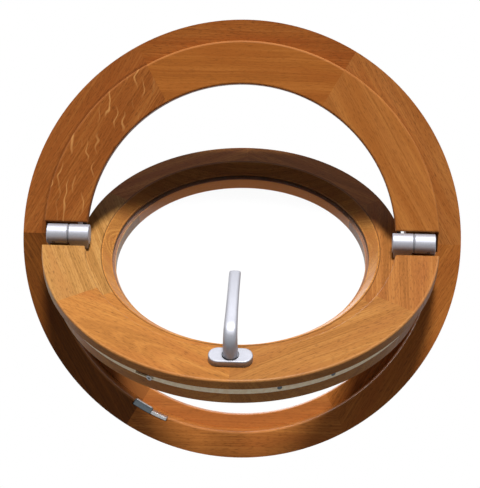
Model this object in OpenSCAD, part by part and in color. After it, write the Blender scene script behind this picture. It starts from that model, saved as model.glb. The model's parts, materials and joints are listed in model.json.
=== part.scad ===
// Round centre-pivot window in stained oak.
// The frame is a ring of six glued segments and the sash a ring of six more, with staggered joints.
// The sash turns on two barrel hinges at mid height: its lower half swings in, its upper half out.
// The window faces -Y, +Z is up, and the origin is the centre of the frame's front face.
// A profile is a list of [radius, forward] pairs, where forward is the distance in front of that face.

/* [Frame] */
// Outside radius of the frame
frame_r = 350; // [300:1:420]
// Depth of the frame from front to back
frame_depth = 68; // [66:1:90]
// Width of the frame's lower half beside the rebate
rebate_wall = 41; // [36:1:46]
// Width of the stop at the back of the lower half
stop_w = 23; // [18:1:30]
// Width of the frame's upper half, behind the cover ring
upper_w = 87; // [80:1:92]
// Diameter of the wall fixing holes
fixing_d = 8; // [5:0.5:10]
// Distance of the wall fixing holes behind the front face
fixing_back = 27.5; // [22:0.5:36]

/* [Cover ring] */
// How far the half rings reach inwards past the frame's upper half
cover_over = 17; // [14:0.5:20]
// How far the half rings reach outwards over the rebate wall
cover_lap = 6; // [4:0.5:10]
// Height of the half rings above the frame's face
cover_h = 17; // [14:0.5:20]
// Radius of the rounded front edges of the half rings and the rebate
edge_r = 3; // [2:0.5:4]
// Width of the small bevel on the other edges
arris = 1.2; // [0.5:0.1:2]
// Gap between a hinge barrel and the frame's half ring end above it
end_gap_up = 3.2; // [2:0.1:8]
// Gap between a hinge barrel and the sash's half ring end below it
end_gap_down = 10.2; // [8:0.1:16]

/* [Sash] */
// How far the sash stands open
tilt = 49; // [0:1:85]
// Gap between the sash's upper half and the frame
upper_gap = 4; // [3:0.5:6]
// Gap between the front of the sash's rim and the rebate wall
rim_gap = 5; // [4:0.5:7]
// How much the sash's rim tapers in towards the back
rim_taper = 4; // [3:0.5:8]
// Distance of the sash's back behind the frame's face
sash_back = 44; // [43:0.5:48]
// Distance of the sash's land behind the frame's face
land_back = 2.5; // [2:0.1:4]
// Width of the sash's land, from its upper rim to the glazing bead
land_w = 37.4; // [32:0.2:42]
// Width of the lip behind the pane
lip_w = 21.6; // [18:0.2:26]

/* [Glazing] */
// Width of the glazing bead
bead_w = 16.6; // [14:0.2:20]
// Depth of the slope on the glazing bead
bead_slope = 13; // [9:0.5:15]
// Depth of the bead's straight inner wall, below its rounded nose
bead_wall = 2.5; // [1:0.5:4]
// Thickness of the pane
pane_t = 4; // [3:0.5:6]
// Thickness of the glazing seal behind the pane
seal_t = 1; // [0.8:0.1:2]
// Gap between the pane's edge and the glazing rebate
pane_edge_gap = 4; // [3:0.5:6]

/* [Hinge] */
// Radius of the hinge barrels
barrel_r = 15.8; // [14:0.1:16]
// Length of each barrel half
knuckle_l = 33; // [28:0.5:34]
// Gap between the hinge barrels and the frame's face
barrel_lift = 1.2; // [0.8:0.1:2]
// How far the barrels start inside the half rings
barrel_lead = 5.5; // [4:0.5:8]
// Radius of the hinge pin
pin_r = 5; // [4:0.5:7]
// Thickness of the friction washer between two barrel halves
washer_t = 1.4; // [1:0.1:2]

/* [Handle] */
// Distance of the handle's spindle from the half ring's inner edge
handle_in = 25; // [20:0.5:30]
// Length of the rosette
rosette_l = 66; // [60:1:72]
// Width of the rosette
rosette_w = 30; // [28:0.5:34]
// Height of the rosette
rosette_h = 11; // [9:0.5:14]
// Distance from the spindle to the lever's tip
lever_l = 131; // [110:1:140]
// Distance of the lever's middle in front of the rosette's seat
lever_out = 52; // [44:1:58]
// Radius of the lever's neck where it turns in the rosette
neck_r = 9; // [8:0.5:11]
// Width of the lever above the rosette
lever_w = 24; // [20:0.5:26]

/* [Lock] */
// Width of the faceplate on the sash's rim
faceplate_w = 14; // [13:0.5:18]
// Thickness of the faceplate
faceplate_t = 3; // [2:0.5:3.5]
// Where the lock roller sits on the rim with the window unlocked
roller_angle = 247; // [246.5:0.25:248]
// Radius of the lock roller
roller_r = 4.5; // [4:0.25:5]
// How far the roller stands out of the faceplate
roller_out = 4.8; // [4:0.1:5]

/* [Clearance] */
// Gap between pieces that move past each other
run_gap = 0.4; // [0.3:0.05:0.6]
// Radial gap of turning fits
turn_fit = 0.05; // [0.02:0.01:0.1]
// Gap between the sash's back and the lower stop, which the seal fills
seal_gap = 3; // [2.5:0.1:4]

/* [Hidden] */
$fn = 96;
SEGMENT_NAMES = ["right_upper", "top", "left_upper", "left_lower", "bottom", "right_lower"];
SASH_NAMES = ["upper_right", "upper_left", "left", "lower_left", "lower_right", "right"];
SIDES = ["left", "right"];

OAK = "#a8672f";
OAK_LIGHT = "#c58a4c";
ALUMINIUM = "#c9cacb";
ZINC = "#9aa0a3";
STEEL = "#b4b6b8";
RUBBER = "#2b2724";

SEGMENTS = 6;
STEP = 360 / SEGMENTS;
HALF = STEP / 2;
// Radii of the frame, from the outside in
REBATE_R = frame_r - rebate_wall;
STOP_R = REBATE_R - stop_w;
UPPER_R = frame_r - upper_w;
COVER_IN_R = UPPER_R - cover_over;
COVER_OUT_R = REBATE_R + cover_lap;
// Radii of the sash, from the outside in
SASH_LOWER_R = REBATE_R - rim_gap;
SASH_UPPER_R = UPPER_R - upper_gap;
GLAZING_R = SASH_UPPER_R - land_w;
LIP_R = GLAZING_R - lip_w;
BEAD_R = GLAZING_R - bead_w;
// The pivot axis lies in front of the frame's face, and the half rings end above and below the barrels.
PIVOT_F = barrel_r + barrel_lift;
COVER_END_UP = barrel_r + end_gap_up;
COVER_END_DOWN = barrel_r + end_gap_down;
// Points that draw each rounded edge
ROUND_STEP = 30;
// Rounded corner of the sash's half ring ends, seen from the front
CORNER_R = 6;
// Glazing stack, from the bead backwards
BEAD_FIT = 0.1;
BEAD_NOSE = 2;
BEAD_BACK = -land_back - bead_slope - BEAD_NOSE - bead_wall;
PANE_BACK = BEAD_BACK - pane_t;
LIP_FRONT = PANE_BACK - seal_t;
PANE_R = GLAZING_R - pane_edge_gap;
SETTING_ANGLES = [235, 305];
SETTING_SPAN = 8;
// Weather seals, one behind the frame's half ring and one on the sash's back
STOP_FRONT = -sash_back - seal_gap;
SEAL_W = 6;
SEAL_INSET = 3;
SEAL_END = 2;
BLOCK_TOP = 3;
FAR = 2 * frame_r;
// Hinge stations along the pivot axis
BARREL_START = COVER_IN_R - barrel_lead;
WASHER_START = BARREL_START + knuckle_l + run_gap;
FRAME_KNUCKLE_START = WASHER_START + washer_t;
BARREL_END = FRAME_KNUCKLE_START + knuckle_l;
KNUCKLE_EDGE = 1;
FOOT_H = 15;
FOOT_INSET = 2;
PIN_CAP_IN = 6;
PIN_CAP_OUT = 4;
PIN_START = BARREL_START + PIN_CAP_IN;
PIN_END = BARREL_END - PIN_CAP_OUT;
// Slot in the frame beside the outer end of a barrel
SLOT_DEPTH = 12;
SLOT_DOWN = 12;
SLOT_MARGIN = 1;
SLOT_UP = COVER_END_UP - SLOT_MARGIN;
SLOT_START = BARREL_END - FOOT_INSET + run_gap;
SLOT_W = 6.3;
SCREW_R = 2.2;
SCREW_L = 24;
SCREW_FIT = 0.1;
HEAD = 1.9;
HEAD_T = 0.6;
// Studs that fix the barrel halves to the wood
STUD_R = 2.5;
STUD_Z = 9;
STUD_PLACES = [0.3, 0.7];
STUD_IN = 26;
STUD_OUT = 4;
// Lock set into the sash's rim
FACE_SUNK = 0.5;
FACE_OUT_R = SASH_LOWER_R - FACE_SUNK;
FACE_IN_R = FACE_OUT_R - faceplate_t;
FACE_MID = -14;
FACE_FRONT = FACE_MID + faceplate_w / 2;
FACE_BACK = FACE_MID - faceplate_w / 2;
FACE_ENDS = [202, 338];
FACE_SCREWS = [206, 222, 284, 300, 318, 334];
FACE_SCREW_R = 1.9;
FACE_SCREW_L = 14;
BAR_T = 3.4;
BAR_W = 2 * roller_r;
BAR_OUT_R = FACE_IN_R - run_gap;
BAR_IN_R = BAR_OUT_R - BAR_T;
BAR_ENDS = [228, 274];
BAR_SPARE = 0.8;
LOCK_TRAVEL = 4;
ROLLER_STUD_R = 2;
ROLLER_SOCKET_R = 2.5;
ROLLER_SOCKET = 2.5;
HANDLE_R = COVER_IN_R + handle_in;
HANDLE_SCREW_IN = 11;
HANDLE_SCREW_X = rosette_l / 2 - HANDLE_SCREW_IN;
CASE_SIDE = 5;
CASE_W = 2 * (HANDLE_SCREW_X + CASE_SIDE);
CASE_T = 14;
CASE_FRONT = -7;
CASE_REACH = 14;
CASE_LOW = HANDLE_R - CASE_REACH;
CASE_HIGH = sqrt(pow(BAR_IN_R - run_gap, 2) - pow(CASE_W / 2, 2));
SPINDLE_R = 5;
SPINDLE_ROOM = 1.5;
SPINDLE_STOP = 2;
SPINDLE_IN = CASE_FRONT - CASE_T + SPINDLE_STOP;
SPINDLE_SOCKET = 12;
ROSETTE_EDGE = 1.2;
// Strike plate let into the rebate wall
STRIKE_ENDS = [238.2, 249.4];
STRIKE_LET_IN = 8;
STRIKE_SUNK = 1.4;
STRIKE_SEAT_R = REBATE_R + STRIKE_LET_IN;
STRIKE_FACE_R = REBATE_R + STRIKE_SUNK;
STRIKE_W = 26;
HOOK_END = 244.4;
HOOK_CLEAR = 2.2;
HOOK_IN_R = FACE_OUT_R + HOOK_CLEAR;
HOOK_W = 7;
HOOK_BACK = FACE_MID + roller_r + run_gap;
STRIKE_SCREW_R = 1.8;
STRIKE_SCREW_L = 16;
STRIKE_SCREWS = [246, 248.4];
FIXING_ANGLES = [HALF, 180 - HALF, 180 + HALF, 360 - HALF];

// A profile of [radius, forward] points turned about the window's axis from one angle to another
module arc(from, to, profile) {
    rotate([90, 0, 0])
        rotate_extrude(angle = to - from, start = from)
            polygon(profile);
}

// A rectangular profile, for arcs of plain strip
function band(r0, r1, f0, f1) = [[r0, f0], [r1, f0], [r1, f1], [r0, f1]];

// What is drawn in the closed sash, put at its opening angle
module on_sash() {
    translate([0, -PIVOT_F, 0])
        rotate([-tilt, 0, 0])
            translate([0, PIVOT_F, 0])
                children();
}

// What is drawn on the right, put on the named side
module on_side(side) {
    if (side == "left")
        mirror([1, 0, 0]) children();
    else
        children();
}

// A place on a circle about the window's axis, with its own Z pointing outwards
module at_angle(angle, r, forward) {
    rotate([0, -angle, 0])
        translate([r, -forward, 0])
            rotate([0, 90, 0])
                children();
}

// A place on the pivot side, with its own Z pointing to the front
module facing(x, forward, z) {
    translate([x, -forward, z])
        rotate([90, 0, 0])
            children();
}

// A round bar along the pivot axis
module pivot_bar(from, to, r) {
    translate([from, -PIVOT_F, 0])
        rotate([0, 90, 0])
            cylinder(r = r, h = to - from);
}

// A screw whose low round head is flush with its own Z = 0 plane
module screw(r, l) {
    rotate_extrude()
        polygon([[0, -l], [r, -l], [r, -HEAD_T * r], [HEAD * r, -HEAD_T * r], [HEAD * r, 0], [0, 0]]);
}

// The stepped hole that a screw fills, open above its head
module screw_hole(r, l) {
    shank = r + SCREW_FIT;
    head = HEAD * r + SCREW_FIT;
    rotate_extrude()
        polygon([[0, -l - SCREW_FIT], [shank, -l - SCREW_FIT], [shank, -HEAD_T * r - SCREW_FIT],
                 [head, -HEAD_T * r - SCREW_FIT], [head, 2], [0, 2]]);
}

// Points of a rounded edge about its centre, from one direction to another
function rounded(centre, from, to, r = edge_r) =
    [for (a = [from:ROUND_STEP:to]) [centre[0] + r * cos(a), centre[1] + r * sin(a)]];

// The half rings' front, with both of its edges rounded
function cover_front() = concat(
    rounded([COVER_OUT_R - edge_r, cover_h - edge_r], 0, 90),
    rounded([COVER_IN_R + edge_r, cover_h - edge_r], 90, 180));

// What rounds the front edge of a half ring's end, where the wood is above that end or below it
module end_rounding(z, side) {
    centre = [edge_r - cover_h, z + side * edge_r];
    rotate([90, 0, 90])
        linear_extrude(height = FAR, center = true)
            polygon(concat(
                [for (p = rounded(centre, 180, 270)) [p[0], centre[1] + side * (p[1] - centre[1])]],
                [[centre[0], z - side], [-FAR, z - side], [-FAR, centre[1]]]));
}

// What rounds the inner corner of the sash's half ring ends
module corner_rounding() {
    x = sqrt(COVER_IN_R * COVER_IN_R - COVER_END_DOWN * COVER_END_DOWN);
    rotate([90, 0, 0])
        linear_extrude(height = FAR, center = true)
            polygon(concat(
                [[0, 0], [0, -COVER_END_DOWN - CORNER_R]],
                [for (p = rounded([x + CORNER_R, COVER_END_DOWN + CORNER_R], 180, 270, CORNER_R))
                    [p[0], -p[1]]],
                [[x + CORNER_R, 0]]));
}

// The two studs that fix a barrel half to the wood, grown by a clearance for their holes
module studs(from, z, gap) {
    for (place = STUD_PLACES)
        facing(from + place * knuckle_l, -STUD_IN - gap, z)
            cylinder(r = STUD_R + gap, h = STUD_IN + STUD_OUT + 2 * gap);
}

module frame_studs(gap) {
    studs(FRAME_KNUCKLE_START, STUD_Z, gap);
}

module sash_studs(gap) {
    studs(BARREL_START, -STUD_Z, gap);
}

// The slots beside the outer ends of both barrels
module hinge_slots() {
    for (side = SIDES)
        on_side(side)
            translate([SLOT_START, -1, -SLOT_DOWN])
                cube([SLOT_W, SLOT_DEPTH + 1, SLOT_DOWN + SLOT_UP]);
}

// Oak frame, cut into six segments
module frame_upper_part(a0, a1) {
    difference() {
        union() {
            arc(a0, a1, [
                [UPPER_R, -frame_depth],
                [frame_r - arris, -frame_depth],
                [frame_r, arris - frame_depth],
                [frame_r, 0],
                [UPPER_R, 0]]);
            arc(a0, a1, concat([[COVER_IN_R, 0], [COVER_OUT_R, 0]], cover_front()));
        }
        translate([-FAR / 2, -FAR, -FAR + COVER_END_UP])
            cube([FAR, FAR, FAR]);
        end_rounding(COVER_END_UP, 1);
        hinge_slots();
        for (side = SIDES)
            on_side(side)
                frame_studs(SCREW_FIT);
    }
}

module frame_lower_part(a0, a1) {
    difference() {
        arc(a0, a1, concat(
            [[STOP_R, -frame_depth], [frame_r - arris, -frame_depth]],
            [[frame_r, arris - frame_depth], [frame_r, 0]],
            rounded([REBATE_R + edge_r, -edge_r], 90, 180),
            [[REBATE_R, STOP_FRONT], [STOP_R + arris, STOP_FRONT], [STOP_R, STOP_FRONT - arris]]));
        hinge_slots();
        arc(STRIKE_ENDS[0], STRIKE_ENDS[1], band(REBATE_R - 1, STRIKE_SEAT_R, -STRIKE_W, 1));
        for (a = STRIKE_SCREWS)
            at_angle(a, STRIKE_FACE_R, FACE_MID)
                rotate([180, 0, 0])
                    screw_hole(STRIKE_SCREW_R, STRIKE_SCREW_L);
    }
}

module frame_segment(i) {
    color(OAK)
        difference() {
            if (i < SEGMENTS / 2)
                frame_upper_part(i * STEP, (i + 1) * STEP);
            else
                frame_lower_part(i * STEP, (i + 1) * STEP);
            for (a = FIXING_ANGLES)
                at_angle(a, 0, -fixing_back)
                    translate([0, 0, COVER_IN_R])
                        cylinder(d = fixing_d, h = frame_r);
        }
}

module frame_seal() {
    r = COVER_IN_R + SEAL_INSET;
    color(RUBBER)
        arc(SEAL_END, 180 - SEAL_END, band(r, r + SEAL_W, run_gap - land_back, 0));
}

// Oak sash, cut into six segments whose joints lie between the frame's
module sash_ring(a0, a1) {
    arc(a0, a1, [
        [GLAZING_R, -land_back],
        [SASH_UPPER_R, -land_back],
        [SASH_UPPER_R, arris - sash_back],
        [SASH_UPPER_R - arris, -sash_back],
        [LIP_R + arris, -sash_back],
        [LIP_R, arris - sash_back],
        [LIP_R, LIP_FRONT],
        [GLAZING_R, LIP_FRONT]]);
}

module sash_lower_block(a0, a1) {
    difference() {
        arc(a0, a1, [
            [COVER_IN_R, -land_back],
            [COVER_IN_R, 0],
            [SASH_LOWER_R, 0],
            [SASH_LOWER_R - rim_taper, -sash_back],
            [SASH_UPPER_R - arris, -sash_back],
            [SASH_UPPER_R - arris, -land_back]]);
        translate([-FAR / 2, -FAR / 2, -BLOCK_TOP])
            cube([FAR, FAR, FAR]);
    }
}

module sash_cover(a0, a1) {
    difference() {
        arc(a0, a1, concat(
            [[COVER_IN_R, 0], [SASH_LOWER_R, 0], [SASH_LOWER_R, run_gap], [COVER_OUT_R, run_gap]],
            cover_front()));
        translate([-FAR / 2, -FAR / 2, -COVER_END_DOWN])
            cube([FAR, FAR, FAR]);
        end_rounding(-COVER_END_DOWN, -1);
        for (side = SIDES)
            on_side(side)
                corner_rounding();
    }
}

// Everything that is let into the sash's lower half
module sash_cuts() {
    arc(FACE_ENDS[0], FACE_ENDS[1], band(FACE_IN_R, FAR, FACE_BACK, FACE_FRONT));
    arc(BAR_ENDS[0] - LOCK_TRAVEL - BAR_SPARE, BAR_ENDS[1] + BAR_SPARE,
        band(BAR_IN_R - run_gap, FACE_IN_R + 1,
             FACE_MID - BAR_W / 2 - run_gap, FACE_MID + BAR_W / 2 + run_gap));
    translate([-CASE_W / 2, -CASE_FRONT, -CASE_HIGH])
        cube([CASE_W, CASE_T, CASE_HIGH - CASE_LOW]);
    facing(0, CASE_FRONT - 1, -HANDLE_R)
        cylinder(r = SPINDLE_R + SPINDLE_ROOM, h = FAR);
    at_handle_screws()
        translate([0, 0, -SCREW_L])
            cylinder(r = SCREW_R + SCREW_FIT, h = SCREW_L + 1);
    for (a = FACE_SCREWS)
        at_angle(a, FACE_OUT_R, FACE_MID)
            screw_hole(FACE_SCREW_R, FACE_SCREW_L);
    for (side = SIDES)
        on_side(side)
            sash_studs(SCREW_FIT);
}

module sash_segment(i) {
    a0 = HALF + i * STEP;
    a1 = a0 + STEP;
    low0 = max(a0, 180);
    low1 = min(a1, 360);
    color(OAK_LIGHT)
        on_sash()
            difference() {
                union() {
                    sash_ring(a0, a1);
                    if (low1 > low0) {
                        sash_lower_block(low0, low1);
                        sash_cover(low0, low1);
                    }
                }
                sash_cuts();
            }
}

// Weather seal on the sash's back, which meets the frame's lower stop
module sash_seal() {
    color(RUBBER)
        on_sash()
            arc(180 + SEAL_END, 360 - SEAL_END, band(STOP_R + SEAL_INSET, STOP_R + SEAL_INSET + SEAL_W,
                STOP_FRONT + run_gap, -sash_back));
}

// Pane, and the sloping bead with a rounded nose that holds it
module glazing_bead() {
    color(OAK_LIGHT)
        on_sash()
            arc(0, 360, concat(
                [[GLAZING_R - BEAD_FIT, -land_back], [GLAZING_R - BEAD_FIT, BEAD_BACK], [BEAD_R, BEAD_BACK]],
                [for (a = [180:-ROUND_STEP:90])
                    [BEAD_R + BEAD_NOSE * (1 + cos(a)), -land_back - bead_slope - BEAD_NOSE * (1 - sin(a))]],
                [[GLAZING_R - BEAD_NOSE, -land_back]]));
}

module glass_pane() {
    color("#dfe9e6", 0.35)
        on_sash()
            arc(0, 360, band(0, PANE_R, PANE_BACK, BEAD_BACK));
}

module glazing_seal() {
    color(RUBBER)
        on_sash()
            arc(0, 360, band(LIP_R + arris, PANE_R, LIP_FRONT, PANE_BACK));
}

module setting_blocks() {
    color(RUBBER)
        on_sash()
            for (a = SETTING_ANGLES)
                arc(a - SETTING_SPAN / 2, a + SETTING_SPAN / 2,
                    band(PANE_R, GLAZING_R, PANE_BACK, BEAD_BACK));
}

// Barrel hinges, two halves each
module knuckle(from, foot_side) {
    difference() {
        union() {
            pivot_bar(from + KNUCKLE_EDGE, from + knuckle_l - KNUCKLE_EDGE, barrel_r);
            translate([from, -PIVOT_F, 0])
                rotate([0, 90, 0])
                    cylinder(r1 = barrel_r - KNUCKLE_EDGE, r2 = barrel_r, h = KNUCKLE_EDGE);
            translate([from + knuckle_l - KNUCKLE_EDGE, -PIVOT_F, 0])
                rotate([0, 90, 0])
                    cylinder(r1 = barrel_r, r2 = barrel_r - KNUCKLE_EDGE, h = KNUCKLE_EDGE);
            translate([from + FOOT_INSET, -PIVOT_F, foot_side > 0 ? BLOCK_TOP : -FOOT_H])
                cube([knuckle_l - 2 * FOOT_INSET, PIVOT_F, FOOT_H - BLOCK_TOP]);
        }
        pivot_bar(PIN_START - run_gap, PIN_END + run_gap, pin_r + turn_fit);
        studs(from, foot_side * STUD_Z, SCREW_FIT);
    }
}

module hinge_frame_knuckle(side) {
    color(ALUMINIUM)
        on_side(side)
            knuckle(FRAME_KNUCKLE_START, 1);
}

module hinge_sash_knuckle(side) {
    color(ALUMINIUM)
        on_sash()
            on_side(side)
                knuckle(BARREL_START, -1);
}

module hinge_pin(side) {
    color(STEEL)
        on_side(side)
            pivot_bar(PIN_START, PIN_END, pin_r);
}

module hinge_washer(side) {
    color(RUBBER)
        on_side(side)
            difference() {
                pivot_bar(WASHER_START, FRAME_KNUCKLE_START, barrel_r - KNUCKLE_EDGE);
                pivot_bar(WASHER_START - 1, FRAME_KNUCKLE_START + 1, pin_r + turn_fit);
            }
}

module hinge_studs_frame() {
    color(STEEL)
        for (side = SIDES)
            on_side(side)
                frame_studs(0);
}

module hinge_studs_sash() {
    color(STEEL)
        on_sash()
            for (side = SIDES)
                on_side(side)
                    sash_studs(0);
}

// Handle in the middle of the sash's lower half, drawn with its spindle along Z
module at_handle() {
    facing(0, cover_h, -HANDLE_R)
        children();
}

module at_handle_screws() {
    at_handle()
        for (side = [-1, 1])
            translate([side * HANDLE_SCREW_X, 0, 0])
                children();
}

module stadium(l, w, h) {
    linear_extrude(height = h)
        union() {
            square([l - w, w], center = true);
            for (side = [-1, 1])
                translate([side * (l - w) / 2, 0])
                    circle(d = w);
        }
}

module handle_rosette() {
    color(ALUMINIUM)
        on_sash()
            difference() {
                at_handle() {
                    stadium(rosette_l, rosette_w, rosette_h - ROSETTE_EDGE);
                    stadium(rosette_l - 2 * ROSETTE_EDGE, rosette_w - 2 * ROSETTE_EDGE, rosette_h);
                }
                at_handle()
                    translate([0, 0, -1])
                        cylinder(r = neck_r + turn_fit, h = rosette_h + 2);
                at_handle_screws()
                    translate([0, 0, -1])
                        cylinder(r = SCREW_R + SCREW_FIT, h = rosette_h / 2 + 1 + SCREW_FIT);
            }
}

module handle_screws() {
    color(STEEL)
        on_sash()
            at_handle_screws()
                translate([0, 0, -SCREW_L])
                    cylinder(r = SCREW_R, h = SCREW_L + rosette_h / 2);
}

// One oval cross-section of the lever's grip, at a distance along it
module grip_slice(along, w, t) {
    translate([0, along, lever_out])
        rotate([90, 0, 0])
            scale([w / t, 1, 1])
                cylinder(d = t, h = 1, center = true, $fn = 32);
}

// The neck turns in the rosette, widens above it and bends into a flat grip with a waist
module handle_lever() {
    bend_w = 0.86 * lever_w;
    waist_w = 0.64 * lever_w;
    tip_w = 0.75 * lever_w;
    grip_t = 13;
    waist_t = 11;
    tip_t = 10;
    bend_r = grip_t / 2;
    bend_low = lever_out - 1.2 * grip_t;
    bend_end = 0.16 * lever_l;
    waist_at = 0.62 * lever_l;
    skirt = rosette_h + run_gap;
    color(ALUMINIUM)
        on_sash()
            at_handle() {
                difference() {
                    rotate_extrude()
                        polygon([[0, run_gap], [neck_r, run_gap], [neck_r, skirt], [lever_w / 2, skirt],
                                 [bend_w / 2, bend_low + 1], [0, bend_low + 1]]);
                    cylinder(r = SPINDLE_R + SCREW_FIT, h = SPINDLE_SOCKET + SCREW_FIT);
                }
                hull() {
                    translate([0, 0, bend_low])
                        cylinder(d = bend_w, h = 1);
                    translate([0, bend_r - bend_w / 2, lever_out])
                        rotate([0, 90, 0])
                            cylinder(r = bend_r, h = bend_w / 2, center = true, $fn = 32);
                    grip_slice(bend_end, bend_w, grip_t);
                }
                hull() {
                    grip_slice(bend_end, bend_w, grip_t);
                    grip_slice(waist_at, waist_w, waist_t);
                }
                hull() {
                    grip_slice(waist_at, waist_w, waist_t);
                    grip_slice(lever_l, tip_w, tip_t);
                }
            }
}

module handle_spindle() {
    color(STEEL)
        on_sash()
            at_handle()
                translate([0, 0, SPINDLE_IN - cover_h])
                    cylinder(r = SPINDLE_R, h = SPINDLE_SOCKET - SPINDLE_IN + cover_h);
}

// Lock: case behind the handle, faceplate on the rim, sliding bar with its roller
module lock_case() {
    color(ZINC)
        on_sash()
            difference() {
                translate([-CASE_W / 2, -CASE_FRONT, -CASE_HIGH])
                    translate([SCREW_FIT, SCREW_FIT, SCREW_FIT])
                        cube([CASE_W, CASE_T, CASE_HIGH - CASE_LOW] - 2 * SCREW_FIT * [1, 1, 1]);
                facing(0, CASE_FRONT - CASE_T - 1, -HANDLE_R)
                    cylinder(r = SPINDLE_R + turn_fit, h = CASE_T + 2);
                at_handle_screws()
                    translate([0, 0, -SCREW_L - 1])
                        cylinder(r = SCREW_R + SCREW_FIT, h = SCREW_L + 1);
            }
}

module lock_faceplate() {
    slot = roller_r + run_gap;
    slot_deg = asin(slot / FACE_OUT_R);
    color(ZINC)
        on_sash()
            difference() {
                arc(FACE_ENDS[0], FACE_ENDS[1], band(FACE_IN_R, FACE_OUT_R, FACE_BACK, FACE_FRONT));
                arc(roller_angle - LOCK_TRAVEL - slot_deg, roller_angle + slot_deg,
                    band(FACE_IN_R - 1, FACE_OUT_R + 1, FACE_MID - slot, FACE_MID + slot));
                for (a = FACE_SCREWS)
                    at_angle(a, FACE_OUT_R, FACE_MID)
                        screw_hole(FACE_SCREW_R, FACE_SCREW_L);
            }
}

module faceplate_screws() {
    color(STEEL)
        on_sash()
            for (a = FACE_SCREWS)
                at_angle(a, FACE_OUT_R, FACE_MID)
                    screw(FACE_SCREW_R, FACE_SCREW_L);
}

module lock_drive_bar() {
    color(ZINC)
        on_sash()
            difference() {
                arc(BAR_ENDS[0], BAR_ENDS[1],
                    band(BAR_IN_R, BAR_OUT_R, FACE_MID - BAR_W / 2, FACE_MID + BAR_W / 2));
                at_angle(roller_angle, BAR_IN_R - 1, FACE_MID)
                    cylinder(r = ROLLER_STUD_R + turn_fit, h = BAR_T + 2);
            }
}

// Roller on its stud, with a socket for a key in its end
module lock_roller() {
    top = FACE_OUT_R + roller_out;
    color(STEEL)
        on_sash()
            at_angle(roller_angle, 0, FACE_MID)
                rotate_extrude()
                    polygon([[0, BAR_IN_R], [ROLLER_STUD_R, BAR_IN_R], [ROLLER_STUD_R, BAR_OUT_R + turn_fit],
                             [roller_r, BAR_OUT_R + turn_fit], [roller_r, top], [ROLLER_SOCKET_R, top],
                             [ROLLER_SOCKET_R, top - ROLLER_SOCKET], [0, top - ROLLER_SOCKET]]);
}

// Cast strike: a base with two screws, and at its end the hook that holds the roller
module strike_plate() {
    color(ZINC)
        difference() {
            union() {
                arc(STRIKE_ENDS[0], STRIKE_ENDS[1], band(STRIKE_FACE_R, STRIKE_SEAT_R, -STRIKE_W, 0));
                arc(STRIKE_ENDS[0], HOOK_END, band(HOOK_IN_R, STRIKE_SEAT_R, HOOK_BACK, HOOK_BACK + HOOK_W));
            }
            for (a = STRIKE_SCREWS)
                at_angle(a, STRIKE_FACE_R, FACE_MID)
                    rotate([180, 0, 0])
                        screw_hole(STRIKE_SCREW_R, STRIKE_SCREW_L);
        }
}

module strike_screws() {
    color(STEEL)
        for (a = STRIKE_SCREWS)
            at_angle(a, STRIKE_FACE_R, FACE_MID)
                rotate([180, 0, 0])
                    screw(STRIKE_SCREW_R, STRIKE_SCREW_L);
}

for (i = [0:SEGMENTS - 1])
    frame_segment(i);
frame_seal();
for (i = [0:SEGMENTS - 1])
    sash_segment(i);
sash_seal();
glazing_bead();
glass_pane();
glazing_seal();
setting_blocks();
for (side = SIDES) {
    hinge_frame_knuckle(side);
    hinge_sash_knuckle(side);
    hinge_pin(side);
    hinge_washer(side);
}
hinge_studs_frame();
hinge_studs_sash();
handle_rosette();
handle_lever();
handle_spindle();
handle_screws();
lock_case();
lock_faceplate();
faceplate_screws();
lock_drive_bar();
lock_roller();
strike_plate();
strike_screws();
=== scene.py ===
# %% [markdown]
# # A round pivot window in stained oak
#
# The window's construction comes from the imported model: every piece of wood, glass and metal is
# already in place, at its real size in metres. This lesson gives those pieces their finish, makes
# the handle and the strike again as smooth surfaces, and sets up light and camera.

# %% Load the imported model
import json
import math

import bpy
import numpy as np
from mathutils import Matrix, Vector


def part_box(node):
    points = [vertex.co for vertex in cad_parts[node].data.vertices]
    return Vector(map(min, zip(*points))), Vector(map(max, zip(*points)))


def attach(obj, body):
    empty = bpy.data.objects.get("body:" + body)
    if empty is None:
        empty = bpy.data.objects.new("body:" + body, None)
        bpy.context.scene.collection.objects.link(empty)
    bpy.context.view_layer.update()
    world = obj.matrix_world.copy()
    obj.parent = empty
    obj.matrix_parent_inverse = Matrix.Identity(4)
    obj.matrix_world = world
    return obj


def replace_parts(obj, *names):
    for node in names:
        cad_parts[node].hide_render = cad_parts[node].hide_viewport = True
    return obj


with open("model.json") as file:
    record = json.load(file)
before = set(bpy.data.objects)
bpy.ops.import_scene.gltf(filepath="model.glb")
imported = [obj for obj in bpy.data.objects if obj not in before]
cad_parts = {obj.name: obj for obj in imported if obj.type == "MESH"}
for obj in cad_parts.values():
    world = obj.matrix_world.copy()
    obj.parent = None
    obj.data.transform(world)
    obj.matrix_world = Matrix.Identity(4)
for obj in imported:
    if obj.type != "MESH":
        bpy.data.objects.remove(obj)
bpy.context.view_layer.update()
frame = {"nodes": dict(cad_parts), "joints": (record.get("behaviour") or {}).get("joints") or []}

NODES = frame["nodes"]
JOINTS = {j["name"]: j for j in frame["joints"]}
print("nodes:", len(NODES), "joints:", sorted(JOINTS))

# %% [markdown]
# ## Places that everything else hangs on
#
# The sash stands open, so its pieces lie in a tilted plane. The pivot joint tells how far: its
# range starts at the closed position, so the lower limit, with its sign turned, is the tilt at
# rest. One rotation then carries a direction drawn for the closed window to where it really is.
# The handle has its own three directions: out of the wood, sideways, and up along the sash.

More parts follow.
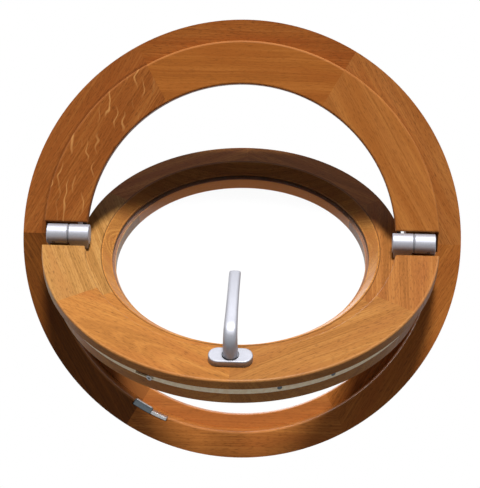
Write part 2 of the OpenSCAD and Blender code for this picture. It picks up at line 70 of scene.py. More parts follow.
# %% Tilt of the sash, and the directions of the handle
MM = 0.001
PIVOT = np.array(JOINTS["sash_pivot"]["pos_m"])
TILT = -math.radians(JOINTS["sash_pivot"]["range_deg"][0])
SASH_TURN = Matrix.Rotation(-TILT, 3, "X")
HANDLE_AT = np.array(JOINTS["handle_turn"]["pos_m"])
HANDLE_OUT = np.array(JOINTS["handle_turn"]["axis"])
HANDLE_SIDE = np.array([1.0, 0.0, 0.0])
HANDLE_UP = np.cross(HANDLE_OUT, HANDLE_SIDE)
print("tilt in degrees:", round(math.degrees(TILT), 1), "handle at", HANDLE_AT.round(3))

# %% [markdown]
# ## Camera
#
# The photograph looks almost straight at the frame from a little to the right, with a long lens,
# and the picture leans slightly clockwise. The distance shows in how much larger the near edge of
# the sash looks than the far one. A camera aimed at a point just beside the window's centre puts
# that centre where the photograph has it, with no lens shift to upset the other views.

# %% Camera at the photograph's angle
IMAGE_H = 488
FOCAL_PX = 1704
SENSOR_MM = 36.0
CAMERA_AT = Vector((0.125, -2.72, 0.005))
AIM_AT = Vector((-0.0012, 0.0, -0.0085))
ROLL = math.radians(1.65)

camera_data = bpy.data.cameras.new("photo_camera")
camera_data.sensor_width = SENSOR_MM
camera_data.lens = FOCAL_PX / IMAGE_H * SENSOR_MM
camera = bpy.data.objects.new("photo_camera", camera_data)
bpy.context.scene.collection.objects.link(camera)
camera.location = CAMERA_AT
look = (AIM_AT - CAMERA_AT).to_track_quat("-Z", "Y").to_matrix()
camera.rotation_euler = (look @ Matrix.Rotation(ROLL, 3, "Z")).to_euler()
bpy.context.scene.camera = camera
print("lens in mm:", round(camera_data.lens, 1))

# %% [markdown]
# ## One helper for nodes, one for colours
#
# A material is a small graph. Building it by hand takes many clicks, and in code many lines, so
# one function adds a node, sets its inputs and links them. Colours are written as sRGB hex, the
# way a colour picker shows them, and turned to the linear values that the shader works with.

# %% Node and colour helpers
def linear(hex_colour):
    """sRGB hex to linear RGBA: below 0.04045 a straight line, above it a 2.4 power."""
    srgb = np.array([int(hex_colour[i:i + 2], 16) for i in (1, 3, 5)]) / 255
    rgb = np.where(srgb <= 0.04045, srgb / 12.92, ((srgb + 0.055) / 1.055) ** 2.4)
    return (*rgb.tolist(), 1.0)


def add(tree, kind, inputs=None, stops=(), **settings):
    """Add a node of that kind. An input is a value, or the output socket that feeds it, and stops
    are a colour ramp's (position, hex colour) pairs."""
    made = tree.nodes.new("ShaderNode" + kind)
    for key, value in settings.items():
        setattr(made, key, value)
    for key, value in (inputs or {}).items():
        if isinstance(value, bpy.types.NodeSocket):
            tree.links.new(value, made.inputs[key])
        else:
            made.inputs[key].default_value = value
    for i, (position, colour) in enumerate(stops):
        bar = made.color_ramp.elements
        stop = bar[i] if i < len(bar) else bar.new(position)
        stop.position = position
        stop.color = linear(colour)
    return made


print("middle grey in linear light:", round(linear("#808080")[0], 3))

# %% Materials, and what wears them
def new_material(name):
    """An empty material, and the tree to build it in."""
    material = bpy.data.materials.new(name)
    material.use_nodes = True
    tree = material.node_tree
    tree.nodes.clear()
    return material, tree


def wear(material, *names):
    """Put a material on CAD nodes, in place of the plain one they came with."""
    for name in names:
        mesh = NODES[name].data
        mesh.materials.clear()
        mesh.materials.append(material)
    print(material.name, "on:", *names)


# %% [markdown]
# ## Stained oak
#
# Oak has four things that the eye picks out: growth rings, which a board's face cuts into long
# lines or, near the heart, into arches; short dark pores that lie along them; slow changes of
# shade; and, on a board sawn towards the heart, pale ray flecks across the grain. All are solid,
# not painted on, so they are worked out in the board's own directions: a Mapping node turns the
# coordinates so that X runs along the board. The ring at a point is its distance from the heart of
# the tree, which lies at a chosen place beside or under the board, and a one-dimensional noise
# over that distance makes the rings. Noise stretched along X makes pores and streaks. Real pores
# are finer than a picture of the whole window can show, so these are drawn a few times too wide.

# %% The solid pattern of one oak board
RING_MM = 2.8                             # from one growth ring to the next
BROAD_MM = 15.0                           # bands of fast and slow years
STREAK_MM = (2.0, 90.0)                   # across and along the grain, as in the next two
PORE_MM = (1.0, 9.0)
CLOUD_MM = (26.0, 140.0)
SWAY_MM = 120.0                           # how slowly the grain wanders, and how far
SWAY_BY_MM = 9.0
NEXT_BOARD = Vector((0.37, 0.61, 0.23))   # step in the noise, so that no two boards are alike
NOISE_MIDDLE = (0.5, 0.5, 0.5)


def oak_board(tree, placing, seed, heart):
    """Nodes for a board: its coordinates along the grain, and its rings, streaks, pores and clouds.
    heart is where the middle of the tree lies, outwards and through the board, in metres, and how
    much it leans along the board."""
    heart_out, heart_through, lean = heart
    directions, origin = placing
    place = add(tree, "TexCoord").outputs["Object"]
    board = add(tree, "Mapping", {"Vector": place, "Rotation": directions.to_euler("XYZ"),
                                  "Location": origin}).outputs["Vector"]
    own_place = NEXT_BOARD * seed
    moved = add(tree, "VectorMath", {0: board, 1: own_place}, operation="ADD").outputs[0]
    wave = add(tree, "TexNoise", {"Vector": moved, "Scale": 1 / (SWAY_MM * MM), "Detail": 1.0})
    wave = add(tree, "VectorMath", {0: wave.outputs["Color"], 1: NOISE_MIDDLE}, operation="SUBTRACT")
    wave = add(tree, "VectorMath", {0: wave.outputs[0], 1: (0.0, SWAY_BY_MM * MM, SWAY_BY_MM * MM)},
               operation="MULTIPLY")
    grain = add(tree, "VectorMath", {0: board, 1: wave.outputs[0]}, operation="ADD").outputs[0]

    heart_at = (0.0, heart_out, heart_through)
    from_heart = add(tree, "VectorMath", {0: grain, 1: heart_at}, operation="SUBTRACT")
    parts = add(tree, "SeparateXYZ", {0: from_heart.outputs[0]})
    leaning = add(tree, "Math", {0: parts.outputs["X"], 1: lean, 2: parts.outputs["Z"]},
                  operation="MULTIPLY_ADD")
    flat = add(tree, "CombineXYZ", {"Y": parts.outputs["Y"], "Z": leaning.outputs[0]})
    distance = add(tree, "VectorMath", {0: flat.outputs[0]}, operation="LENGTH").outputs["Value"]
    rings = add(tree, "TexNoise", {"W": distance, "Scale": 1 / (RING_MM * MM), "Detail": 2.0},
                noise_dimensions="1D").outputs[0]
    broad = add(tree, "TexNoise", {"W": distance, "Scale": 1 / (BROAD_MM * MM), "Detail": 1.0},
                noise_dimensions="1D").outputs[0]

    shifted = add(tree, "VectorMath", {0: grain, 1: own_place}, operation="ADD").outputs[0]
    stretched = []
    for across_mm, along_mm in (STREAK_MM, PORE_MM, CLOUD_MM):
        size = Vector((1 / along_mm, 1 / across_mm, 1 / across_mm)) / MM
        scaled = add(tree, "VectorMath", {0: shifted, 1: size}, operation="MULTIPLY")
        noise = add(tree, "TexNoise", {"Vector": scaled.outputs[0], "Scale": 1.0, "Detail": 1.0})
        stretched.append(noise.outputs[0])
    return board, rings, broad, *stretched


print("growth rings in a metre:", round(1 / (RING_MM * MM)))

# %% [markdown]
# ## Ray flecks
#
# On the upper left board of the frame the saw ran along the tree's rays, and they show as pale
# wavy dashes. They could be drawn one by one, but a pattern needs only a formula: parallel lines,
# bent by a slow noise, each cut into dashes by a noise of its own. Only the raised half ring shows
# them, so the pattern fades out behind the plane of the frame's face.

# %% Pale dashes across the grain
FLECK_TURN = math.radians(25)
FLECK_SPACING_MM = 13.0
FLECK_WIDTH_MM = 3.1
FLECK_CORE = 0.35             # share of the width that is fully pale
FLECK_LENGTH_MM = 46.0
FLECK_WAVE_MM = 19.0
FLECK_BEND_MM = 15.0
FLECK_DASH = (0.5, 0.68)      # noise at which a dash starts, and at which it is full
FLECK_FADE_MM = (-1.0, -2.0)  # depths at which flecks are gone and full; the frame's face is at 0
LANE_STEP = 7.3               # keeps the dashes of neighbouring lines apart in the noise
HALF_LANE = 0.5


def ray_flecks(tree, board):
    """How much of a ray shows: |v - line| small, where v is bent by noise, times dashes along u."""
    turned = add(tree, "Mapping", {"Vector": board, "Rotation": (0.0, 0.0, FLECK_TURN),
                                   "Scale": Vector((1, 1, 0)) / MM}).outputs["Vector"]
    bend = add(tree, "TexNoise", {"Vector": turned, "Scale": 1 / FLECK_WAVE_MM, "Detail": 0.0})
    uv = add(tree, "SeparateXYZ", {0: turned}).outputs
    bent = add(tree, "Math", {0: bend.outputs[0], 1: FLECK_BEND_MM, 2: uv["Y"]},
               operation="MULTIPLY_ADD").outputs[0]
    lane = add(tree, "Math", {0: bent, 1: FLECK_SPACING_MM}, operation="DIVIDE").outputs[0]
    number = add(tree, "Math", {0: lane}, operation="FLOOR").outputs[0]
    off = add(tree, "Math", {0: lane, 1: number}, operation="SUBTRACT").outputs[0]
    off = add(tree, "Math", {0: off, 1: HALF_LANE}, operation="SUBTRACT").outputs[0]
    off = add(tree, "Math", {0: off}, operation="ABSOLUTE").outputs[0]
    half = FLECK_WIDTH_MM / FLECK_SPACING_MM / 2
    line = add(tree, "MapRange", {"Value": off, "From Min": FLECK_CORE * half, "From Max": half,
                                  "To Min": 1.0, "To Max": 0.0}).outputs[0]
    along = add(tree, "Math", {0: uv["X"], 1: FLECK_LENGTH_MM}, operation="DIVIDE").outputs[0]
    apart = add(tree, "Math", {0: number, 1: LANE_STEP}, operation="MULTIPLY").outputs[0]
    dash = add(tree, "CombineXYZ", {"X": along, "Y": apart}).outputs[0]
    dash = add(tree, "TexNoise", {"Vector": dash, "Scale": 1.0, "Detail": 0.0}).outputs[0]
    dash = add(tree, "MapRange", {"Value": dash, "From Min": FLECK_DASH[0],
                                  "From Max": FLECK_DASH[1]}).outputs[0]
    raised = add(tree, "SeparateXYZ", {0: board}).outputs["Z"]
    raised = add(tree, "MapRange", {"Value": raised, "From Min": FLECK_FADE_MM[0] * MM,
                                    "From Max": FLECK_FADE_MM[1] * MM}).outputs[0]
    shown = add(tree, "Math", {0: line, 1: dash}, operation="MULTIPLY").outputs[0]
    return add(tree, "Math", {0: shown, 1: raised}, operation="MULTIPLY").outputs[0]


print("ray flecks of", FLECK_WIDTH_MM, "mm, every", FLECK_SPACING_MM, "mm")

# %% [markdown]
# ## Rubbed edges, painted light and shade, and dark joints
#
# Where two faces meet in a rounded edge, sanding takes the stain off and leaves a thin pale line,
# which is also a painted highlight, where the rounded edge catches the light. The edges that show
# it are circles about the window's axis, so a band of radius, kept to the front of the board, finds
# them from the shape alone. The face of the raised ring is paler too. The lip under the glass and
# the stop get painted light, and a painted shadow lies as a dark line at the foot of the raised
# ring, while stain gathers as a dark line where the bead meets the sash. All of them are found the
# same way.

# %% Bands round the window's axis
# Pale of the rounded edges: partly sanded-off stain, partly a painted highlight.
EDGE_WORN_AND_LIT_COLOUR = "#d79a63"
# Dark of the joints, and of the painted shadow at the foot of the raised ring.
JOINT_AND_SHADOW_COLOUR = "#3a1d0b"
EDGE_SOFT_MM = 0.6
ANY_DEPTH = 100.0
# Each band: its inner and outer radius and the depth that it ends at, in mm, and its colour.
# Pale edges: partly sanded-off stain, partly a painted highlight where the edge catches light.
RING_EDGE_WORN_AND_LIT = (311.8, 315.6, -13.4, EDGE_WORN_AND_LIT_COLOUR)
REBATE_EDGE_WORN_AND_LIT = (308.6, 312.0, 3.4, EDGE_WORN_AND_LIT_COLOUR)
# Painted light: the lip under the glass lightened as if lit from below, most on the upper boards.
LIP_PAINTED_LIGHT = (190.0, 206.0, ANY_DEPTH, "#e39450")
# Painted light: the stop lightened where it lies in shade inside the rebate.
STOP_PAINTED_LIGHT = (280.0, 308.6, ANY_DEPTH, "#bd7740")
RAISED = (240.0, 317.0, -1.5, "#c0752f")
BEAD_JOINT = (220.8, 223.0, ANY_DEPTH, JOINT_AND_SHADOW_COLOUR)
# Painted shadow: a dark line at the foot of the raised ring, strongest on the left.
RING_FOOT_SHADOW = (315.4, 320.4, ANY_DEPTH, JOINT_AND_SHADOW_COLOUR)


def round_band(tree, board, inside, outside, depth):
    """1 on the band from one radius to another, in front of a depth, and 0 elsewhere."""
    flat = add(tree, "VectorMath", {0: board, 1: (1.0, 1.0, 0.0)}, operation="MULTIPLY")
    radius = add(tree, "VectorMath", {0: flat.outputs[0]}, operation="LENGTH").outputs["Value"]
    through = add(tree, "SeparateXYZ", {0: board}).outputs["Z"]
    band = 1.0
    for value, limit, side in ((radius, inside, 1), (radius, outside, -1), (through, depth, -1)):
        step = add(tree, "MapRange", {"Value": value, "From Min": (limit - side * EDGE_SOFT_MM) * MM,
                                      "From Max": (limit + side * EDGE_SOFT_MM) * MM})
        band = add(tree, "Math", {0: step.outputs[0], 1: band}, operation="MULTIPLY").outputs[0]
    return band


print("the rubbed edge of the ring is", round(RING_EDGE_WORN_AND_LIT[1] - RING_EDGE_WORN_AND_LIT[0], 1), "mm wide")

# %% [markdown]
# ## From pattern to finish
#
# The rings, streaks and wide bands are mixed to one value, and a colour ramp turns it into the
# shades of the stain. Thin layers of colour go over that, each where a pattern lets it: red clouds,
# dark pores, flecks, bands, among them painted highlights, painted light and a painted shadow, and
# on the bead a painted shade that darkens its far half. Pores are dark because stain and dirt settle
# in them, and they are also small hollows, which a Bump node shows. The stain gives the eye a warm
# brown, and the oil a satin sheen that shows most at a low angle and is a little glossier on the
# hard late wood.

# %% The oak of one board
STREAK_SHARE = 0.4               # streaks against rings
BROAD_SHARE = 0.35               # wide bands against both
SHADE_STOPS = (0.4, 0.5, 0.61)   # where the mix is dark, middle and light wood
RED_CLOUD = (0.45, 0.7)          # noise at which a cloud starts to redden, and does so most
RED_MOST = 0.7
PORE_COLOUR = "#3d1c08"
PORE_NOISE = (0.55, 0.68)
PORE_DARK = 0.42
PORE_BUMP = 0.2
PORE_DEEP_MM = 0.3
FLECK_COLOUR = "#cf9556"
FAR_SHADE_MM = (40.0, 150.0)           # above the axis, where the painted shade on the far half starts and is darkest
RING_NOISE = (0.3, 0.7)          # in late and in early wood, as the roughness below
OAK_ROUGH = (0.34, 0.48)
OAK_REFLECTION = 0.1


def stained_oak(name, placing, seed, shades, heart, flecks=0.0, bands=(), painted_far_shade=0.0):
    """Stained, oiled oak. shades are dark, middle, light and the red of the clouds, bands are (band,
    amount) pairs, and flecks and painted_far_shade say how much the ray flecks and the painted shade
    on the far half show."""
    *ramp, red = shades
    material, tree = new_material(name)
    board, rings, broad, streaks, pore, cloud = oak_board(tree, placing, seed, heart)
    tone = add(tree, "Mix", {"Factor": STREAK_SHARE, "A": rings, "B": streaks}).outputs["Result"]
    tone = add(tree, "Mix", {"Factor": BROAD_SHARE, "A": tone, "B": broad}).outputs["Result"]
    wood = add(tree, "ValToRGB", {"Fac": tone}, stops=zip(SHADE_STOPS, ramp)).outputs["Color"]

    reddish = add(tree, "MapRange", {"Value": cloud, "From Min": RED_CLOUD[0],
                                     "From Max": RED_CLOUD[1], "To Max": RED_MOST}).outputs[0]
    hollow = add(tree, "MapRange", {"Value": pore, "From Min": PORE_NOISE[0],
                                    "From Max": PORE_NOISE[1], "To Max": PORE_DARK}).outputs[0]
    layers = [(reddish, red), (hollow, PORE_COLOUR)]
    if flecks:
        ray = add(tree, "Math", {0: ray_flecks(tree, board), 1: flecks}, operation="MULTIPLY")
        layers.append((ray.outputs[0], FLECK_COLOUR))
    for (*limits, colour), amount in bands:
        band = round_band(tree, board, *limits)
        band = add(tree, "Math", {0: band, 1: amount}, operation="MULTIPLY").outputs[0]
        layers.append((band, colour))
    # Painted shade: the far half is darkened with the pore colour.
    if painted_far_shade:
        up = add(tree, "SeparateXYZ", {0: board}).outputs["Y"]
        far = add(tree, "MapRange", {"Value": up, "From Min": FAR_SHADE_MM[0] * MM,
                                     "From Max": FAR_SHADE_MM[1] * MM, "To Max": painted_far_shade}).outputs[0]
        layers.append((far, PORE_COLOUR))
    for amount, colour in layers:
        wood = add(tree, "Mix", {"Factor": amount, "A": wood, "B": linear(colour)},
                   data_type="RGBA").outputs["Result"]

    rough = add(tree, "MapRange", {"Value": rings, "From Min": RING_NOISE[0], "From Max": RING_NOISE[1],
                                   "To Min": OAK_ROUGH[0], "To Max": OAK_ROUGH[1]}).outputs[0]
    bump = add(tree, "Bump", {"Strength": PORE_BUMP, "Distance": PORE_DEEP_MM * MM, "Height": hollow},
               invert=True)
    shader = add(tree, "BsdfPrincipled",
                 {"Base Color": wood, "Roughness": rough, "Normal": bump.outputs["Normal"],
                  "Specular IOR Level": OAK_REFLECTION})
    add(tree, "OutputMaterial", {"Surface": shader.outputs["BSDF"]})
    return material


print("roughness of late and of early oak:", *OAK_ROUGH)

# %% [markdown]
# ## Boards of the frame and the sash
#
# Every segment gets a board of its own: the grain turned to its chord, a place of its own in the
# tree, and its own shade, because stain takes differently on each board. In the photograph the
# upper left board has the ray flecks, the lower left one is the darkest, and the sash's lower left
# board shows arches, so its heart lies close under the face and leans.

# %% Grain directions
def board_place(angle_deg, turn=Matrix.Identity(3)):
    """Rows: along the chord, outwards, and through the board, for a segment centred on the angle,
    and what to add so that the window's axis stays at zero when the sash has turned on its pivot."""
    angle = math.radians(angle_deg)
    chord = Vector((-math.sin(angle), 0.0, math.cos(angle)))
    outward = Vector((math.cos(angle), 0.0, math.sin(angle)))
    through = Vector((0.0, 1.0, 0.0))
    closed = Matrix([chord, outward, through])
    turned = Matrix([turn @ row for row in closed])
    return turned, (closed - turned) @ Vector(PIVOT)


# Where the heart lies: outwards and through the board, in metres, and its lean along the board.
QUARTER_SAWN = (0.02, 0.05, 0.02)
FLAT_SAWN = (0.285, 0.03, 0.06)
print("the sash's grain is moved by", board_place(0, SASH_TURN)[1])

# %% Boards of the frame
# Each board: its angle, its shades, how much its ray flecks show, and its bands, among them pale
# edges that are partly a painted highlight, painted light on the stop and a painted shadow.
FRAME_BOARDS = {
    "right_upper": (30, ("#8f5627", "#a06330", "#aa6d34", "#945523"), 0.0,
                    [(RAISED, 0.18), (RING_EDGE_WORN_AND_LIT, 0.05), (RING_FOOT_SHADOW, 0.1)]),
    "top": (90, ("#83471b", "#925320", "#9e5e29", "#874518"), 0.0,
            [(RAISED, 0.25), (RING_EDGE_WORN_AND_LIT, 0.14)]),
    "left_upper": (150, ("#874b1d", "#935323", "#9c5e2a", "#87481b"), 0.6,
                   [(RING_FOOT_SHADOW, 0.3), (RING_EDGE_WORN_AND_LIT, 0.06)]),
    "left_lower": (210, ("#5a320e", "#693a12", "#774317", "#5e2f0d"), 0.0,
                   [(REBATE_EDGE_WORN_AND_LIT, 0.3), (STOP_PAINTED_LIGHT, 0.4)]),
    "bottom": (270, ("#915524", "#a1612b", "#ac6c32", "#955424"), 0.0,
               [(REBATE_EDGE_WORN_AND_LIT, 0.15), (STOP_PAINTED_LIGHT, 0.28)]),
    "right_lower": (330, ("#8a5120", "#9b5b26", "#a6662d", "#904f1f"), 0.0,
                    [(REBATE_EDGE_WORN_AND_LIT, 0.2)]),
}
FRAME_SEED = 1

for seed, (board, (at, shades, flecks, bands)) in enumerate(FRAME_BOARDS.items(), start=FRAME_SEED):
    oak = stained_oak("stained_oak_frame_" + board, board_place(at), seed, shades, QUARTER_SAWN,
                      flecks, bands)
    wear(oak, "frame_" + board)

# %% Boards of the sash, and the bead
# Each board: its angle, its shades, its cut, how much its pale edge shows, partly rubbed stain and
# partly a painted highlight, and how much painted light lies on its lip.
SASH_BOARDS = {
    "upper_right": (60, ("#8e582a", "#9d6333", "#a96f3a", "#93572c"), QUARTER_SAWN, 0.0, 0.9),
    "upper_left": (120, ("#995f30", "#a96c39", "#b67942", "#9f5f32"), QUARTER_SAWN, 0.0, 0.9),
    "left": (201, ("#936733", "#a7773f", "#ae8148", "#a26f3a"), QUARTER_SAWN, 0.1, 0.1),
    "lower_left": (240, ("#99622c", "#a96e33", "#b3793a", "#a2622d"), FLAT_SAWN, 0.15, 0.0),
    "lower_right": (300, ("#8e5c2a", "#9e6832", "#a6723a", "#965f2e"), QUARTER_SAWN, 0.2, 0.0),
    "right": (0, ("#885425", "#975e2c", "#a16934", "#905528"), QUARTER_SAWN, 0.2, 0.1),
}
SASH_SEED = 11
JOINT_SHOWS = 0.7
BEAD_SHADES = ("#a36a30", "#b4783a", "#c18642", "#a96933")
BEAD_ANGLE = 90
BEAD_SEED = 23
# Painted shade on the far half of the bead.
BEAD_FAR_SHADE = 0.6

for seed, (board, (at, shades, cut, worn_and_lit, bare)) in enumerate(SASH_BOARDS.items(), start=SASH_SEED):
    # The edge band is partly a painted highlight, and the lip band is painted light.
    bands = [(RING_EDGE_WORN_AND_LIT, worn_and_lit), (LIP_PAINTED_LIGHT, bare), (BEAD_JOINT, JOINT_SHOWS)]
    oak = stained_oak("stained_oak_sash_" + board, board_place(at, SASH_TURN), seed, shades, cut,
                      bands=bands)
    wear(oak, "sash_" + board)
bead_oak = stained_oak("stained_oak_bead", board_place(BEAD_ANGLE, SASH_TURN), BEAD_SEED, BEAD_SHADES,
                       QUARTER_SAWN, painted_far_shade=BEAD_FAR_SHADE)
wear(bead_oak, "glazing_bead")

# %% [markdown]
# ## Metal, rubber, plastic and glass
#
# The hinges and the handle are satin anodised aluminium, the lock and the strike's hook are dull
# zinc-plated steel, and small parts that rub or turn are bright. The long strip on the rim has a
# cream lacquer. The seals are black rubber, the hinge washers grey plastic, and the tape under the
# glass is brown, so that it hides in the wood. One flat colour would look like paint, so a fine
# noise lets each of them drift between two near shades. The glass is nearly invisible in the
# photograph, so it is a clear surface that lets light and shadow through.

# %% Metals
METAL_SPREAD = (0.35, 0.65)      # noise at which the darker and the lighter shade are reached
METAL_DETAIL = 2.0               # finer layers in the noise
METAL_SMOOTHER = 0.05
METAL_ROUGHER = 0.07


def mottled(name, shades, patch_mm, detail, spread):
    """A material to finish: its tree, a noise in patches of patch_mm, and a colour between two shades
    that follows the noise."""
    material, tree = new_material(name)
    place = add(tree, "TexCoord").outputs["Object"]
    patches = add(tree, "TexNoise", {"Vector": place, "Scale": 1 / (patch_mm * MM), "Detail": detail})
    colour = add(tree, "ValToRGB", {"Fac": patches.outputs[0]}, stops=zip(spread, shades))
    return material, tree, patches.outputs[0], colour.outputs["Color"]


def metal(name, dark, light, roughness, mottle_mm, bare=1.0):
    """A metal whose colour and roughness vary a little, in patches of mottle_mm. Less than 1 of bare
    metal leaves room for a matt coat."""
    material, tree, patches, colour = mottled(name, (dark, light), mottle_mm, METAL_DETAIL, METAL_SPREAD)
    rough = add(tree, "MapRange", {"Value": patches, "To Min": roughness - METAL_SMOOTHER,
                                   "To Max": roughness + METAL_ROUGHER}).outputs[0]
    shader = add(tree, "BsdfPrincipled", {"Base Color": colour, "Metallic": bare, "Roughness": rough})
    add(tree, "OutputMaterial", {"Surface": shader.outputs["BSDF"]})
    return material


# Blasted and anodised: a soft pale grey that scatters its highlights.
satin_aluminium = metal("satin_anodised_aluminium", "#a0a1a9", "#abacb4", roughness=0.56,
                        mottle_mm=1.5, bare=0.8)
# Plated and dulled: a dark, slightly mottled blue grey.
zinc = metal("zinc_plated_steel", "#5f676c", "#6c747a", roughness=0.3, mottle_mm=3.0)
# Lacquered: a cream line on the rim, with no metal showing through.
pale_strip = metal("cream_lacquered_steel", "#f8e0bb", "#fff0d2", roughness=0.5, mottle_mm=6.0,
                   bare=0.0)
# Plated and rubbed: small bright glints.
bright_steel = metal("bright_zinc_steel", "#b5b6b8", "#cbcccd", roughness=0.3, mottle_mm=2.0)
# Oiled black: parts that read as dark dots and gaps.
black_steel = metal("blackened_steel", "#2b2826", "#3d3936", roughness=0.45, mottle_mm=1.5)
wear(satin_aluminium, "hinge_frame_knuckle_left", "hinge_frame_knuckle_right",
     "hinge_sash_knuckle_left", "hinge_sash_knuckle_right")
wear(zinc, "lock_case", "faceplate_screws")
wear(pale_strip, "lock_faceplate")
wear(black_steel, "lock_drive_bar")
wear(bright_steel, "hinge_pin_left", "hinge_pin_right", "hinge_studs_frame", "hinge_studs_sash",
     "handle_spindle", "handle_screws", "lock_roller", "strike_screws")

# %% Rubber, plastic and glass
SOFT_SPREAD = (0.3, 0.7)
MOULDED_ROUGH = 0.7
DUST_MM = 2.5
DUST_DETAIL = 3.0
GLASS_SHADES = ("#f2f8f6", "#ffffff")
SMEAR_MM = 30.0
SMEAR_DETAIL = 2.0
GLASS_ROUGH = 0.03
GLASS_IOR = 1.5
GLASS_SHOWS = 0.025              # alpha: how little of the pane itself is seen


def moulded(name, dark, light):
    """Moulded rubber or plastic, matt, with a fine mottle of dust."""
    material, tree, _, colour = mottled(name, (dark, light), DUST_MM, DUST_DETAIL, SOFT_SPREAD)
    shader = add(tree, "BsdfPrincipled", {"Base Color": colour, "Roughness": MOULDED_ROUGH})
    add(tree, "OutputMaterial", {"Surface": shader.outputs["BSDF"]})
    return material


def clear_glass(name):
    """Float glass as a clear surface: mostly see-through, with the gloss of its front."""
    material, tree, _, colour = mottled(name, GLASS_SHADES, SMEAR_MM, SMEAR_DETAIL, SOFT_SPREAD)
    shader = add(tree, "BsdfPrincipled", {"Base Color": colour, "Roughness": GLASS_ROUGH,
                                          "IOR": GLASS_IOR, "Alpha": GLASS_SHOWS})
    add(tree, "OutputMaterial", {"Surface": shader.outputs["BSDF"]})
    return material


# A soft black that swallows the light in the gaps.
black_rubber = moulded("black_epdm_rubber", "#1b1816", "#2a2623")
# A matt grey line between the bright halves of a hinge.
grey_plastic = moulded("grey_acetal_plastic", "#77777c", "#88888d")
# A brown that is hard to tell from the wood beside it.
brown_tape = moulded("brown_glazing_tape", "#6a3f20", "#7b4b28")
wear(black_rubber, "frame_seal", "sash_seal", "setting_blocks")
wear(grey_plastic, "hinge_washer_left", "hinge_washer_right")
wear(brown_tape, "glazing_seal")
wear(clear_glass("clear_float_glass"), "glass_pane")

# %% [markdown]
# ## A skin over rings of points
#
# The pieces made here are all tubes of some kind: a section that changes while it travels along a
# path. With numpy the whole tube is one array, row by row along the path and point by point round
# the section, so the faces follow from counting. A middle point closes each open end.

# %% From an array of points to a piece
def skin(name, rings, material, body, closed_path=False):
    """A mesh over rings[row, point]: four-sided faces between neighbours, and a fan at both ends
    unless the path is closed. Faces are turned round if their volume comes out negative."""
    rows, around, _ = rings.shape
    row = np.arange(rows if closed_path else rows - 1)[:, None]
    point = np.arange(around)[None, :]
    here = row * around + point
    beside = row * around + (point + 1) % around
    step = ((row + 1) % rows - row) * around
    quads = np.stack([here, beside, beside + step, here + step], axis=-1).reshape(-1, 4)
    points = rings.reshape(-1, 3)
    fans = np.zeros((0, 3), int)
    if not closed_path:
        ends = np.stack([rings[0].mean(axis=0), rings[-1].mean(axis=0)])
        first = np.arange(around)
        after = (first + 1) % around
        last = (rows - 1) * around
        middle = np.full(around, len(points))
        fans = np.concatenate([np.stack([middle, after, first], axis=-1),
                               np.stack([middle + 1, last + first, last + after], axis=-1)])
        points = np.concatenate([points, ends])
    corners = np.concatenate([quads[:, [0, 1, 2]], quads[:, [0, 2, 3]], fans])
    a, b, c = (points[corners[:, k]] for k in range(3))
    if np.einsum("ij,ij->", a, np.cross(b, c)) < 0:
        quads, fans = quads[:, ::-1], fans[:, ::-1]
    mesh = bpy.data.meshes.new(name)
    mesh.from_pydata(points.tolist(), [], quads.tolist() + fans.tolist())
    mesh.polygons.foreach_set("use_smooth", np.ones(len(mesh.polygons), bool))
    mesh.materials.append(material)
    piece = bpy.data.objects.new(name, mesh)
    bpy.context.scene.collection.objects.link(piece)
    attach(piece, body)
    print(name, "faces:", len(mesh.polygons))
    return piece


# %% Full circles, squared circles, and places on the handle
def full_turn(count):
    """Angles of count points, evenly round a circle, the first of them at zero."""
    return np.linspace(0, 2 * math.pi, count, endpoint=False)


def superellipse(angle, square):
    """Points of |x|^n + |y|^n = 1 with n = square: x is |cos|^(2/n) with the sign of the cosine, and
    y the same of the sine."""
    x = np.sign(np.cos(angle)) * np.abs(np.cos(angle)) ** (2 / square)
    y = np.sign(np.sin(angle)) * np.abs(np.sin(angle)) ** (2 / square)
    return x, y


def handle_place(side, up, out):
    """Millimetres sideways, up along the sash and out from the rosette's seat, as points in metres."""
    return HANDLE_AT + MM * (np.multiply.outer(side, HANDLE_SIDE) + np.multiply.outer(up, HANDLE_UP)
                             + np.multiply.outer(out, HANDLE_OUT))


print("the handle's seat:", handle_place(0.0, 0.0, 0.0).round(3))

# %% [markdown]
# ## The lever
#
# The lever is one casting: a round neck comes out of the rosette, bends through nearly a quarter
# circle and runs on as a flat grip with a slight bow, a waist and a squared, softly rounded tip. A
# hull of a few cylinders would show its corners. Here a section travels along the path, a
# superellipse whose width, thickness and squareness change smoothly, so that the neck turns into
# the grip without a seam.

# %% The lever's path
ROSETTE_H = 11.0
LEVER_GAP = 0.4
LEVER_FOOT = ROSETTE_H + LEVER_GAP
LEVER_OUT = 52.0
LEVER_L = 131.0
BEND_R = 17.0
GRIP_BOW = (85.0, 93.0)          # degrees from the neck's direction, at the bend and at the tip
TIP_R = 3.0
PATH_STEPS = 120
TIP_STEPS = 9
SOFTEN_OVER = 9


def soften(values):
    """A running mean over SOFTEN_OVER neighbours, with the end values held."""
    held = np.pad(values, SOFTEN_OVER // 2, mode="edge")
    return np.convolve(held, np.ones(SOFTEN_OVER) / SOFTEN_OVER, mode="valid")


bend_from = LEVER_OUT - BEND_R - LEVER_FOOT
bend_to = bend_from + BEND_R * math.pi / 2
lever_length = bend_to + LEVER_L - BEND_R
tip_turn = np.linspace(0, math.pi / 2, TIP_STEPS)[1:]
travel = np.concatenate([np.linspace(0, lever_length - TIP_R, PATH_STEPS),
                         lever_length - TIP_R * (1 - np.sin(tip_turn))])
turn = soften(np.interp(travel, [0, bend_from, bend_to, lever_length], np.radians([0, 0, *GRIP_BOW])))
step = np.diff(travel, prepend=0)
path_up = np.cumsum(np.sin(turn) * step)
path_out = LEVER_FOOT + np.cumsum(np.cos(turn) * step)
print("the lever reaches", round(path_up[-1], 1), "mm up and", round(path_out.max(), 1), "mm out")

